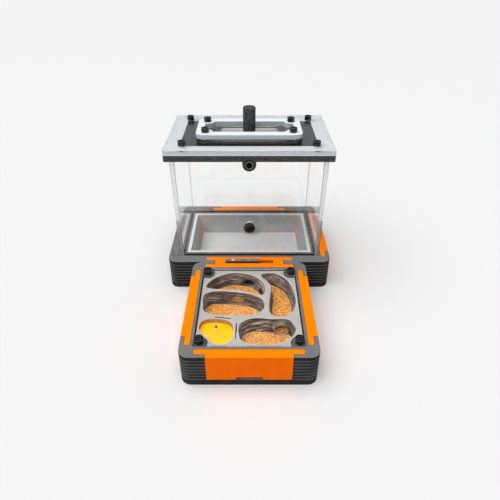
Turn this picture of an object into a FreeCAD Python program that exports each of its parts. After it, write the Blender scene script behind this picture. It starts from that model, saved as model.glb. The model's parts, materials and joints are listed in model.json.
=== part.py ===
"""Ant habitat: a glass-sided foraging module with a lift-off lid and a low nest module.

Frame: millimetres, +Z up, +Y from the nest module towards the foraging module.
The origin is the centre of the footprint, on the surface that the habitat stands on.
"""
import FreeCAD, Part
import Sketcher
import math
import os
import re

# Driving dimensions, in millimetres
SIZES = {
    # Both modules
    "module_tall": 26.5,
    "module_corner": 7.0,
    "top_slab_tall": 2.6,
    "groove_tall": 1.5,
    "groove_deep": 1.5,
    "ridge_tall": 1.4,
    "rear_wide": 134.0,
    "rear_deep": 95.6,
    "nest_wide": 91.0,
    "nest_deep": 100.0,
    # Tunnel between the modules, and the ports in line with it
    "tunnel_up": 15.3,
    "tunnel_radius": 4.0,
    "tunnel_reach": 9.0,
    # Slide-in covers and the connector
    "lip_thick": 2.7,
    "bar_thick": 4.0,
    "slide_gap": 0.25,
    "rest_gap": 0.1,
    "end_panel": 56.0,
    "end_tab": 7.8,
    "side_panel": 63.0,
    "side_tab": 8.0,
    "bar_flat": 0.4,
    "pull_wide": 17.6,
    "pull_tall": 2.2,
    # Gate in the connector
    "gate_shift": 0.6,
    "gate_slot_long": 39.2,
    "gate_slot_wide": 4.2,
    "gate_slot_below": 5.4,
    "gate_long": 27.7,
    "gate_side_gap": 0.25,
    "gate_proud": 1.6,
    # Basin of the foraging module
    "tray_side_inset": 1.75,
    "tray_end_inset": 2.15,
    "tray_rim": 2.5,
    "tray_floor_up": 9.5,
    "tray_floor_thick": 2.0,
    "tray_slope": 5.0,
    "tray_gap": 0.1,
    "grommet_neck": 4.75,
    "grommet_flange": 5.5,
    "grommet_flange_thick": 1.4,
    "grommet_bore": 3.7,
    "grommet_gap": 0.05,
    # Clear walls
    "box_side_web": 1.5,
    "box_end_web": 1.9,
    "wall_thick": 3.2,
    "wall_seat": 4.0,
    "wall_gap": 0.15,
    "wall_clear": 84.4,
    "seal_thick": 0.9,
    # Lid
    "lid_side_over": 4.0,
    "lid_end_over": 2.1,
    "lid_corner": 1.2,
    "frame_thick": 4.6,
    "frame_grip": 2.2,
    "frame_gap": 0.3,
    "frame_side_wide": 10.75,
    "frame_end_wide": 11.95,
    "lid_boss": 4.5,
    "mesh_thick": 0.4,
    "mesh_lap": 3.0,
    "gasket_thick": 0.5,
    "sheet_thick": 3.2,
    "lid_screw_side": 12.75,
    "lid_screw_end": 11.45,
    # Port in the lid's front edge
    "port_up": 108.5,
    "port_boss": 5.0,
    "port_past_wall": 1.5,
    "port_neck": 3.3,
    "port_flange": 3.95,
    "port_flange_thick": 0.8,
    "port_bore": 2.2,
    # Hatch on the lid
    "hatch_shift": 7.3,
    "hatch_wide": 79.2,
    "hatch_deep": 38.5,
    "hatch_corner": 6.0,
    "hatch_thick": 3.2,
    "spacer_thick": 3.2,
    "hatch_side_wide": 5.6,
    "hatch_end_wide": 7.45,
    "hatch_lobe": 5.6,
    "hatch_screw_side": 6.9,
    "hatch_screw_end": 7.25,
    "feed_wide": 44.0,
    "feed_deep": 15.0,
    "feed_corner": 3.0,
    "door_gap": 0.4,
    "knob_radius": 4.75,
    "knob_tall": 18.0,
    "knob_bevel": 0.5,
    "knob_screw_head": 2.75,
    "knob_screw_cone": 1.6,
    "knob_screw_grip": 9.0,
    # Nest block, its chambers and its clear sheet
    "nest_floor": 4.0,
    "recess_side_web": 1.7,
    "recess_end_web": 2.0,
    "nest_seal_thick": 0.9,
    "nest_seal_tall": 3.0,
    "nest_sheet_thick": 2.4,
    "nest_sheet_gap": 0.2,
    "nest_boss": 5.0,
    "boss_gap": 0.5,
    "nest_screw_side": 3.8,
    "nest_screw_end": 4.45,
    "floor_drop": 0.3,
    "sand_deep": 1.9,
    "wall_slope": 2.2,
    "water_slope": 0.5,
    "pad_thick": 9.2,
    "window_radius": 5.0,
    "window_up": 14.8,
    "side_hole_radius": 2.6,
    "side_hole_up": 14.3,
    "round_tunnel_radius": 4.2,
    "round_tunnel_up": 16.7,
    "collar_thick": 1.1,
    "collar_long": 5.6,
    "slit_wide": 0.8,
    "membrane_thick": 0.6,
    "fill_hole": 1.6,
    "way_half_long": 4.6,
    # Screws and their brass inserts
    "screw_radius": 1.5,
    "screw_hole": 1.75,
    "screw_head_tall": 3.2,
    "lid_head": 2.85,
    "nest_head": 3.15,
    "hex_across": 2.5,
    "hex_deep": 1.6,
    "thread_gap": 0.05,
    "insert_radius": 2.3,
    "lid_insert_long": 3.6,
    "nest_insert_long": 6.0,
    "nest_seat_below": 2.0,
}
GROOVES = 7
CUT_PAST = 1.0

# Chamber outlines on a block of DRAWN_WIDE by DRAWN_DEEP, from the block's centre,
# as points of a closed smooth curve; the outlines stretch with the block
DRAWN_WIDE = 71.4
DRAWN_DEEP = 79.8
CHAMBERS = {
    "back_left": [(-33.0, 21.2), (-26.5, 31.0), (-16.0, 36.5), (-3.5, 36.3), (6.5, 31.0),
                  (12.0, 19.0), (10.6, 11.8), (0.0, 14.0), (-15.0, 17.0), (-29.0, 18.4)],
    "back_right": [(10.4, 36.0), (19.5, 36.7), (29.0, 28.5), (33.6, 14.0), (32.6, -3.0),
                   (25.0, -11.4), (15.4, -9.2), (14.4, -2.0), (15.7, 11.5), (13.6, 27.5)],
    "middle": [(-34.0, 3.5), (-31.3, 13.4), (-21.0, 15.2), (-5.5, 13.3), (7.5, 8.0),
               (11.2, 0.0), (6.0, -8.6), (-8.0, -10.4), (-26.0, -9.8), (-33.0, -5.0)],
    "front": [(-7.2, -26.5), (-4.4, -16.8), (5.0, -13.4), (17.0, -14.4), (28.0, -15.4),
              (31.6, -23.6), (27.0, -32.4), (18.0, -37.0), (3.0, -37.2), (-5.6, -33.4)],
    "water": [(-34.2, -22.0), (-31.3, -15.2), (-20.5, -14.4), (-12.9, -17.6), (-10.6, -25.8),
              (-14.0, -35.6), (-21.0, -37.2), (-29.6, -29.8)],
}
# Openings between chambers: place on the block, from its centre
WINDOW_AT = (-9.0, 15.2)
SIDE_HOLE_AT = (12.6, 24.6)
ROUND_TUNNEL_AT = (22.5, -13.0)
SLITS = {
    "middle": ((-24.5, -12.2), (-13.0, -13.9)),
    "front": ((-8.7, -18.4), (-9.1, -32.6)),
}
FILL_HOLE_AT = (-22.8, -23.5)

# Places worked out from the driving dimensions
JOINT_Y = "(nest_deep - rear_deep) / 2"
REAR_Y = "nest_deep / 2"
NEST_Y = "-rear_deep / 2"
BOTTOM_SLAB = f"(module_tall - top_slab_tall - {GROOVES} * groove_tall - {GROOVES - 1} * ridge_tall)"
BAR_INNER = "(lip_thick + bar_thick + 2 * slide_gap)"
BOX_WIDE = f"(rear_wide - 2 * ({BAR_INNER} + box_side_web + wall_gap))"
BOX_DEEP = f"(rear_deep - 2 * ({BAR_INNER} + box_end_web + wall_gap))"
INNER_WIDE = f"({BOX_WIDE} - 2 * wall_thick)"
INNER_DEEP = f"({BOX_DEEP} - 2 * wall_thick)"
TRAY_WIDE = f"({INNER_WIDE} - 2 * seal_thick - 2 * tray_side_inset)"
TRAY_DEEP = f"({INNER_DEEP} - 2 * seal_thick - 2 * tray_end_inset)"
LID_WIDE = f"({BOX_WIDE} + 2 * lid_side_over)"
LID_DEEP = f"({BOX_DEEP} + 2 * lid_end_over)"
FRAME_OPEN_WIDE = f"({LID_WIDE} - 2 * frame_side_wide)"
FRAME_OPEN_DEEP = f"({LID_DEEP} - 2 * frame_end_wide)"
RECESS_WIDE = f"(nest_wide - 2 * ({BAR_INNER} + recess_side_web))"
RECESS_DEEP = f"(nest_deep - 2 * ({BAR_INNER} + recess_end_web))"
NEST_SCREW_WIDE = f"({RECESS_WIDE} - 2 * nest_screw_side)"
NEST_SCREW_DEEP = f"({RECESS_DEEP} - 2 * nest_screw_end)"
FRAME_Z = "(module_tall + wall_clear)"
GASKET_Z = f"({FRAME_Z} + frame_thick)"
SHEET_Z = f"({GASKET_Z} + gasket_thick)"
LID_Z = f"({SHEET_Z} + sheet_thick)"
HATCH_Z = f"({LID_Z} + spacer_thick)"
DOOR_Z = f"({LID_Z} + rest_gap)"
HATCH_Y = f"({REAR_Y} - hatch_shift)"
HATCH_SCREW_WIDE = "(hatch_wide - 2 * hatch_screw_side)"
HATCH_SCREW_DEEP = "(hatch_deep - 2 * hatch_screw_end)"
BLOCK_TOP = "(module_tall - nest_sheet_thick)"
BLOCK_WIDE = f"({RECESS_WIDE} - 2 * nest_seal_thick)"
BLOCK_DEEP = f"({RECESS_DEEP} - 2 * nest_seal_thick)"
CHAMBER_FLOOR = "(tunnel_up - tunnel_radius - floor_drop)"
SAND_TOP = f"({CHAMBER_FLOOR} + sand_deep)"
TRAY_Z = "(tray_floor_up - tray_floor_thick)"
TRAY_SEAT = f"({TRAY_DEEP} / 2 - tray_rim - tray_slope)"
COVER_Z = f"({BOTTOM_SLAB} + slide_gap)"
COVER_TALL = f"(module_tall - {COVER_Z})"

# Each side of a module that takes a cover: turn about Z, and the middle of its outer face
FACES = {
    "rear_back": (0, "0", f"{JOINT_Y} + rear_deep"),
    "rear_left": (90, "-rear_wide / 2", REAR_Y),
    "rear_right": (-90, "rear_wide / 2", REAR_Y),
    "rear_front": (180, "0", JOINT_Y),
    "nest_back": (0, "0", JOINT_Y),
    "nest_left": (90, "-nest_wide / 2", NEST_Y),
    "nest_right": (-90, "nest_wide / 2", NEST_Y),
    "nest_front": (180, "0", f"{JOINT_Y} - nest_deep"),
}
END_TEE = ("end_panel", "end_tab")
SIDE_TEE = ("side_panel", "side_tab")

UP = FreeCAD.Vector(0, 0, 1)
WORD = re.compile(r"[a-z_]+")

doc = FreeCAD.newDocument("ant_habitat")
sheet = doc.addObject("Spreadsheet::Sheet", "sizes")
for row, (alias, size) in enumerate(SIZES.items(), start=1):
    sheet.set(f"A{row}", alias)
    sheet.set(f"B{row}", str(size))
    sheet.setAlias(f"B{row}", alias)
doc.recompute()

nodes = {}


def bind(thing, **expressions):
    """Ties properties of an object to expressions of the sheet's aliases."""
    for name, text in expressions.items():
        tied = WORD.sub(lambda word: ("sizes." if word[0] in SIZES else "") + word[0], text)
        thing.setExpression(name.replace("__", "."), tied)


def place(thing, at_x, at_y, at_z):
    bind(thing, Placement__Base__x=at_x, Placement__Base__y=at_y, Placement__Base__z=at_z)
    return thing


def turn(thing, axis, degrees):
    thing.Placement = FreeCAD.Placement(FreeCAD.Vector(), FreeCAD.Rotation(axis, degrees))
    return thing


def slab(name, wide, deep, tall, centre_x="0", centre_y="0", low_z="0"):
    """A box, centred in plan, standing on low_z."""
    box = doc.addObject("Part::Box", name)
    bind(box, Length=wide, Width=deep, Height=tall)
    return place(box, f"{centre_x} - ({wide}) / 2", f"{centre_y} - ({deep}) / 2", low_z)


def rod(name, radius, long, start_x, start_y, start_z, axis="z"):
    """A cylinder that starts at a point and runs along +X, +Y or +Z."""
    cylinder = doc.addObject("Part::Cylinder", name)
    bind(cylinder, Radius=radius, Height=long)
    if axis == "x":
        turn(cylinder, FreeCAD.Vector(0, 1, 0), 90)
    if axis == "y":
        turn(cylinder, FreeCAD.Vector(1, 0, 0), -90)
    return place(cylinder, start_x, start_y, start_z)


def join(name, parts):
    fuse = doc.addObject("Part::MultiFuse", name)
    fuse.Shapes = parts
    fuse.Refine = True
    return fuse


def cut(name, base, tools):
    """The base less one tool or several."""
    result = doc.addObject("Part::Cut", name)
    result.Base = base
    result.Tool = tools[0] if len(tools) == 1 else join(name + "_tools", tools)
    result.Refine = True
    return result


def cut_in_turn(base, tools):
    """The base less one tool after another, for holes that meet curved walls."""
    for tool in tools:
        result = doc.addObject("Part::Cut", f"{base.Name}_{tool.Name}")
        result.Base = base
        result.Tool = tool
        base = result
    return base


def common(name, base, tool):
    result = doc.addObject("Part::Common", name)
    result.Base = base
    result.Tool = tool
    return result


def group(name, parts):
    """Identical loose pieces that share one node."""
    compound = doc.addObject("Part::Compound", name)
    compound.Links = parts
    return compound


def node(name, thing):
    """Registers a finished piece under the name of its file."""
    thing.Label = name
    nodes[name] = thing
    return thing


def vertical_edges(body, picks=None):
    """Names of the body's vertical edges, all of them or those that picks says yes to."""
    names = []
    for number, edge in enumerate(body.Shape.Edges, start=1):
        ends = [vertex.Point for vertex in edge.Vertexes]
        upright = len(ends) == 2 and (ends[0] - ends[1]).cross(FreeCAD.Vector(0, 0, 1)).Length < 1e-6
        if upright and (picks is None or picks(ends[0])):
            names.append(f"Edge{number}")
    return names


def rounded_slab(name, wide, deep, tall, corner, centre_x="0", centre_y="0", low_z="0"):
    """A box with its four upright edges rounded."""
    body = doc.addObject("PartDesign::Body", name)
    block = body.newObject("PartDesign::AdditiveBox", name + "_block")
    bind(block, Length=wide, Width=deep, Height=tall)
    doc.recompute()
    rounding = body.newObject("PartDesign::Fillet", name + "_corners")
    rounding.Base = (block, vertical_edges(block))
    bind(rounding, Radius=corner)
    body.Tip = rounding
    return place(body, f"{centre_x} - ({wide}) / 2", f"{centre_y} - ({deep}) / 2", low_z)


def plane(body, role):
    return next(item for item in body.Origin.OriginFeatures if item.Role == role)


def outline_sketch(body, name, role, corners):
    """A closed outline of straight lines; each corner is a pair of expressions."""
    sketch = body.newObject("Sketcher::SketchObject", name)
    sketch.AttachmentSupport = (plane(body, role), [""])
    sketch.MapMode = "FlatFace"
    count = len(corners)
    starts = [FreeCAD.Vector(math.cos(2 * math.pi * i / count), math.sin(2 * math.pi * i / count), 0)
              for i in range(count)]
    for i in range(count):
        sketch.addGeometry(Part.LineSegment(starts[i], starts[(i + 1) % count]), False)
    for i in range(count):
        sketch.addConstraint(Sketcher.Constraint("Coincident", i, 2, (i + 1) % count, 1))
    for i, (across, along) in enumerate(corners):
        for kind, text in (("DistanceX", across), ("DistanceY", along)):
            number = sketch.addConstraint(Sketcher.Constraint(kind, -1, 1, i, 1, 1.0))
            bind(sketch, **{f"Constraints[{number}]": text})
    return sketch


def turned(name, profile):
    """A body turned about its own Z axis from an outline of (radius, height) corners."""
    body = doc.addObject("PartDesign::Body", name)
    sketch = outline_sketch(body, name + "_profile", "XZ_Plane", profile)
    revolve = body.newObject("PartDesign::Revolution", name + "_turned")
    revolve.Profile = sketch
    revolve.ReferenceAxis = (sketch, ["V_Axis"])
    revolve.Angle = 360
    body.Tip = revolve
    return body


def corners(wide, deep, centre_y):
    """The four corners of a rectangle, as pairs of expressions."""
    return [(f"{side} * {wide} / 2", f"{centre_y} + {end} * {deep} / 2")
            for side in (-1, 1) for end in (-1, 1)]


def rods(name, radius, long, places, low_z):
    """Upright cylinders of one size at several places."""
    return [rod(f"{name}_{number}", radius, long, at_x, at_y, low_z)
            for number, (at_x, at_y) in enumerate(places, start=1)]


def screws(name, head, long, places, seat_z):
    """Socket-head screws of one size, standing in their holes."""
    made = []
    for number, (at_x, at_y) in enumerate(places, start=1):
        own = f"{name}_{number}"
        crown = rod(own + "_head", head, "screw_head_tall", at_x, at_y, seat_z)
        shank = rod(own + "_shank", "screw_radius", long, at_x, at_y, f"{seat_z} - ({long})")
        socket = doc.addObject("Part::Prism", own + "_socket")
        socket.Polygon = 6
        bind(socket, Circumradius="hex_across / sqrt(3)", Height=f"hex_deep + {CUT_PAST}")
        place(socket, at_x, at_y, f"{seat_z} + screw_head_tall - hex_deep")
        made.append(cut(own, join(own + "_blank", [crown, shank]), [socket]))
    return group(name, made)


def brass_inserts(name, long, places, top_z):
    made = []
    for number, (at_x, at_y) in enumerate(places, start=1):
        own = f"{name}_{number}"
        low_z = f"{top_z} - {long}"
        outside = rod(own + "_outside", "insert_radius", long, at_x, at_y, low_z)
        bore = rod(own + "_bore", "screw_radius + thread_gap", long, at_x, at_y, low_z)
        made.append(cut(own, outside, [bore]))
    return group(name, made)


def put_on_face(thing, face, low_z):
    """Turns a piece drawn with its outer face at y = 0 onto one side of a module."""
    degrees, at_x, at_y = FACES[face]
    turn(thing, UP, degrees)
    return place(thing, at_x, at_y, low_z)


def round_bar_ends(body, pad, panel, tab, grow):
    """Rounds the upright edges at the ends of the bar."""
    past_panel = (SIZES[panel] + SIZES[tab]) / 2
    doc.recompute()
    rounding = body.newObject("PartDesign::Fillet", body.Name + "_ends")
    rounding.Base = (pad, vertical_edges(pad, lambda point: abs(point.x) > past_panel))
    bind(rounding, Radius=f"(bar_thick - bar_flat) / 2 + {grow}")
    body.Tip = rounding


def padded_outline(name, outline, tall):
    body = doc.addObject("PartDesign::Body", name)
    sketch = outline_sketch(body, name + "_outline", "XY_Plane", outline)
    pad = body.newObject("PartDesign::Pad", name + "_pad")
    pad.Profile = sketch
    bind(pad, Length=tall)
    body.Tip = pad
    return body, pad


def tee(name, kind, tall, grow="0", face="0"):
    """A T in plan: the bar held behind the lips, and the panel out to the face."""
    panel, tab = kind
    panel_end = f"({panel} / 2 + {grow})"
    bar_end = f"({panel} / 2 + {tab} + {grow})"
    back = f"-(lip_thick + slide_gap + bar_thick + {grow})"
    shoulder = f"-(lip_thick + slide_gap - {grow})"
    outline = [(f"-{bar_end}", back), (bar_end, back), (bar_end, shoulder), (panel_end, shoulder),
               (panel_end, face), (f"-{panel_end}", face), (f"-{panel_end}", shoulder),
               (f"-{bar_end}", shoulder)]
    body, pad = padded_outline(name, outline, tall)
    round_bar_ends(body, pad, panel, tab, grow)
    return body


def inner_box(body, name, wide, deep, tall, low_x, low_y, low_z):
    """A box taken out of a body, in the body's own frame."""
    pocket = body.newObject("PartDesign::SubtractiveBox", name)
    bind(pocket, Length=wide, Width=deep, Height=tall)
    place(pocket, low_x, low_y, low_z)
    body.Tip = pocket
    return pocket


def cover(name, kind, face):
    """A slide-in side cover with a pull notch under its panel."""
    body = tee(name + "_body", kind, COVER_TALL)
    inner_box(body, name + "_pull", "pull_wide", f"lip_thick + {CUT_PAST}", f"pull_tall + {CUT_PAST}",
              "-pull_wide / 2", "-lip_thick", f"-{CUT_PAST}")
    return node(name, put_on_face(body, face, COVER_Z))


def ribbed_block(name, wide, deep, centre_y):
    """A module's outside: a core with a bottom slab, a top slab and thin ridges between."""
    layers = [rounded_slab(name + "_core", f"{wide} - 2 * groove_deep", f"{deep} - 2 * groove_deep",
                           "module_tall", "module_corner - groove_deep", "0", centre_y, "0")]
    heights = [("0", BOTTOM_SLAB), ("module_tall - top_slab_tall", "top_slab_tall")]
    for step in range(1, GROOVES):
        heights.append((f"{BOTTOM_SLAB} + {step} * groove_tall + {step - 1} * ridge_tall", "ridge_tall"))
    for number, (low_z, tall) in enumerate(heights, start=1):
        layers.append(rounded_slab(f"{name}_layer_{number}", wide, deep, tall, "module_corner",
                                   "0", centre_y, low_z))
    return join(name + "_outside", layers)


def slots(faces):
    """The T-shaped slots that the covers and the connector slide down into."""
    tools = []
    for face, kind in faces.items():
        tall = f"module_tall - {BOTTOM_SLAB} + {CUT_PAST}"
        slot = tee(f"{face}_slot", kind, tall, "slide_gap", str(CUT_PAST))
        tools.append(put_on_face(slot, face, BOTTOM_SLAB))
    return tools


def grommet(name, bore, neck, flange, flange_thick, long, degrees, at_y, at_z):
    """A rubber grommet, its flange at at_y and its neck running on along Y."""
    profile = [(bore, f"-{flange_thick}"), (flange, f"-{flange_thick}"), (flange, "0"),
               (neck, "0"), (neck, long), (bore, long)]
    body = turned(name + "_body", profile)
    turn(body, FreeCAD.Vector(1, 0, 0), degrees)
    return node(name, place(body, "0", at_y, at_z))


def make_foraging_base():
    tools = slots({"rear_back": END_TEE, "rear_front": END_TEE,
                   "rear_left": SIDE_TEE, "rear_right": SIDE_TEE})
    seat_z = "module_tall - wall_seat"
    seat_tall = f"wall_seat + {CUT_PAST}"
    outer = slab("wall_groove_outer", f"{BOX_WIDE} + 2 * wall_gap", f"{BOX_DEEP} + 2 * wall_gap", seat_tall,
                 "0", REAR_Y, seat_z)
    inner = slab("wall_groove_inner", f"{INNER_WIDE} - 2 * seal_thick", f"{INNER_DEEP} - 2 * seal_thick",
                 seat_tall, "0", REAR_Y, seat_z)
    tools.append(cut("wall_groove", outer, [inner]))
    tools.append(slab("tray_pocket", f"{TRAY_WIDE} + 2 * tray_gap", f"{TRAY_DEEP} + 2 * tray_gap",
                      f"module_tall - {TRAY_Z} + {CUT_PAST}", "0", REAR_Y, TRAY_Z))
    ribs = ribbed_block("rear", "rear_wide", "rear_deep", REAR_Y)
    bores = port_bores()
    node("outworld_base", cut("outworld_base", ribs, tools + bores))

    blank = slab("tray_blank", TRAY_WIDE, TRAY_DEEP, f"module_tall - {TRAY_Z}", "0", REAR_Y, TRAY_Z)
    hollow = doc.addObject("Part::Wedge", "tray_hollow")
    for side, half in (("X", f"{TRAY_WIDE} / 2"), ("Z", f"{TRAY_DEEP} / 2")):
        top = f"({half} - tray_rim)"
        bind(hollow, **{side + "min": f"-({top} - tray_slope)", side + "max": f"{top} - tray_slope",
                        side + "2min": f"-{top}", side + "2max": top})
    bind(hollow, Ymin="0", Ymax="module_tall - tray_floor_up")
    turn(hollow, FreeCAD.Vector(1, 0, 0), 90)
    place(hollow, "0", REAR_Y, "tray_floor_up")
    long = "tray_rim + tray_slope"
    back_pad = rod("back_port_pad", "grommet_flange", long, "0", f"{REAR_Y} + {TRAY_SEAT}", "tunnel_up", "y")
    front_pad = rod("front_port_pad", "grommet_flange", long, "0", f"{REAR_Y} - {TRAY_DEEP} / 2",
                    "tunnel_up", "y")
    walled = join("tray_walled", [cut("tray_shell", blank, [hollow]), back_pad, front_pad])
    node("basin_tray", cut("basin_tray", walled, bores))

    neck_long = f"rear_deep / 2 - {BAR_INNER} - {TRAY_SEAT}"
    for name, degrees, side in (("back_port_grommet", -90, "+"), ("front_port_grommet", 90, "-")):
        grommet(name, "grommet_bore", "grommet_neck", "grommet_flange", "grommet_flange_thick", neck_long,
                degrees, f"{REAR_Y} {side} {TRAY_SEAT}", "tunnel_up")


def port_bores():
    """Holes for the two grommets, through the tray and the module's front and back."""
    long = f"rear_deep / 2 - {BAR_INNER} - {TRAY_SEAT} + {2 * CUT_PAST}"
    radius = "grommet_neck + grommet_gap"
    back = rod("back_port_bore", radius, long, "0", f"{REAR_Y} + {TRAY_SEAT} - {CUT_PAST}", "tunnel_up", "y")
    front = rod("front_port_bore", radius, long, "0",
                f"{JOINT_Y} + {BAR_INNER} - {CUT_PAST}", "tunnel_up", "y")
    return [back, front]


def make_clear_walls():
    low_z = "module_tall - wall_seat"
    tall = "wall_seat + wall_clear + frame_grip"
    for name, side in (("wall_left", "-"), ("wall_right", "")):
        node(name, slab(name, "wall_thick", BOX_DEEP, tall, f"{side}({BOX_WIDE} - wall_thick) / 2", REAR_Y,
                        low_z))
    node("wall_back", slab("wall_back", INNER_WIDE, "wall_thick", tall, "0",
                           f"{REAR_Y} + ({BOX_DEEP} - wall_thick) / 2", low_z))
    front_y = f"{REAR_Y} - ({BOX_DEEP} - wall_thick) / 2"
    front = slab("wall_front_blank", INNER_WIDE, "wall_thick", tall, "0", front_y, low_z)
    notch_long = f"wall_thick + {2 * CUT_PAST}"
    notch_round = rod("port_notch_round", "port_boss + frame_gap", notch_long, "0",
                      f"{front_y} - ({notch_long}) / 2", "port_up", "y")
    notch_open = slab("port_notch_open", "2 * (port_boss + frame_gap)", notch_long,
                      f"{FRAME_Z} + frame_grip - port_up + {CUT_PAST}", "0", front_y, "port_up")
    node("wall_front", cut("wall_front", front, [notch_round, notch_open]))

    outer = slab("wall_seal_outer", INNER_WIDE, INNER_DEEP, "wall_seat", "0", REAR_Y, low_z)
    inner = slab("wall_seal_inner", f"{INNER_WIDE} - 2 * seal_thick", f"{INNER_DEEP} - 2 * seal_thick",
                 "wall_seat", "0", REAR_Y, low_z)
    node("wall_seal", cut("wall_seal", outer, [inner]))


def make_lid_frame(screw_places):
    rebate_z = f"{GASKET_Z} - mesh_thick"
    ring = rounded_slab("lid_ring", LID_WIDE, LID_DEEP, "frame_thick", "lid_corner", "0", REAR_Y, FRAME_Z)
    opening = slab("lid_ring_opening", FRAME_OPEN_WIDE, FRAME_OPEN_DEEP, "frame_thick", "0", REAR_Y, FRAME_Z)
    bosses = rods("lid_boss", "lid_boss", "frame_thick", screw_places, FRAME_Z)
    blank = join("lid_frame_blank", [cut("lid_ring_open", ring, [opening])] + bosses)
    rebate = slab("mesh_rebate", f"{FRAME_OPEN_WIDE} + 2 * mesh_lap", f"{FRAME_OPEN_DEEP} + 2 * mesh_lap",
                  f"mesh_thick + {CUT_PAST}", "0", REAR_Y, rebate_z)
    grip_tall = f"frame_grip + rest_gap + {CUT_PAST}"
    grip_z = f"{FRAME_Z} - {CUT_PAST}"
    outer = slab("grip_outer", f"{BOX_WIDE} + 2 * frame_gap", f"{BOX_DEEP} + 2 * frame_gap", grip_tall,
                 "0", REAR_Y, grip_z)
    inner = slab("grip_inner", f"{INNER_WIDE} - 2 * frame_gap", f"{INNER_DEEP} - 2 * frame_gap", grip_tall,
                 "0", REAR_Y, grip_z)
    seats = rods("lid_insert_seat", "insert_radius", f"lid_insert_long + {CUT_PAST}", screw_places,
                 f"{rebate_z} - lid_insert_long")
    grooved = cut("lid_frame_grooved", blank, [rebate, cut("grip_groove", outer, [inner])] + seats)

    start_y = f"{REAR_Y} - {LID_DEEP} / 2"
    long = f"({LID_DEEP} - {BOX_DEEP}) / 2 + wall_thick + port_past_wall"
    boss = rod("port_boss_round", "port_boss", long, "0", start_y, "port_up", "y")
    neck = slab("port_boss_neck", "2 * port_boss", long, f"{FRAME_Z} + frame_grip - port_up",
                "0", f"{start_y} + ({long}) / 2", "port_up")
    bore = rod("port_boss_bore", "port_neck + grommet_gap", f"{long} + {2 * CUT_PAST}", "0",
               f"{start_y} - {CUT_PAST}", "port_up", "y")
    node("lid_frame", cut("lid_frame", join("lid_frame_with_port", [grooved, boss, neck]), [bore]))
    grommet("lid_port_grommet", "port_bore", "port_neck", "port_flange", "port_flange_thick", long,
            -90, start_y, "port_up")
    node("lid_threads", brass_inserts("lid_threads", "lid_insert_long", screw_places, rebate_z))


def make_lid():
    screw_places = corners(f"({LID_WIDE} - 2 * lid_screw_side)", f"({LID_DEEP} - 2 * lid_screw_end)", REAR_Y)
    hatch_places = corners(HATCH_SCREW_WIDE, HATCH_SCREW_DEEP, HATCH_Y)
    make_lid_frame(screw_places)
    through = f"{LID_Z} - {FRAME_Z}"
    holes = rods("lid_screw_hole", "screw_hole", through, screw_places, FRAME_Z)
    feed = rounded_slab("feed_opening", "feed_wide", "feed_deep", through, "feed_corner", "0", HATCH_Y,
                        FRAME_Z)
    tapped = rods("hatch_tapped", "screw_radius + thread_gap", "sheet_thick", hatch_places, SHEET_Z)

    mesh = slab("mesh_blank", f"{FRAME_OPEN_WIDE} + 2 * mesh_lap", f"{FRAME_OPEN_DEEP} + 2 * mesh_lap",
                "mesh_thick", "0", REAR_Y, f"{GASKET_Z} - mesh_thick")
    node("lid_mesh", cut("lid_mesh", mesh, holes + [feed]))
    ring = rounded_slab("gasket_blank", LID_WIDE, LID_DEEP, "gasket_thick", "lid_corner",
                        "0", REAR_Y, GASKET_Z)
    opening = slab("gasket_opening", FRAME_OPEN_WIDE, FRAME_OPEN_DEEP, "gasket_thick", "0", REAR_Y, GASKET_Z)
    node("lid_gasket", cut("lid_gasket", ring, holes + [opening]))
    clear = rounded_slab("sheet_blank", LID_WIDE, LID_DEEP, "sheet_thick", "lid_corner", "0", REAR_Y, SHEET_Z)
    node("lid_sheet", cut("lid_sheet", clear, holes + tapped + [feed]))
    grip = "sheet_thick + gasket_thick + mesh_thick + lid_insert_long - slide_gap"
    node("lid_screws", screws("lid_screws", "lid_head", grip, screw_places, LID_Z))
    make_hatch(hatch_places)


def hatch_opening(name, thick, low_z, grow):
    """The hatch's opening: a rectangle with a lobe left round each screw."""
    mouth = slab(name + "_mouth", f"hatch_wide - 2 * (hatch_side_wide + {grow})",
                 f"hatch_deep - 2 * (hatch_end_wide + {grow})", thick, "0", HATCH_Y, low_z)
    lobes = rods(name + "_lobe", f"hatch_lobe + {grow}", thick,
                 corners(HATCH_SCREW_WIDE, HATCH_SCREW_DEEP, HATCH_Y), low_z)
    return cut(name, mouth, lobes)


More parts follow.
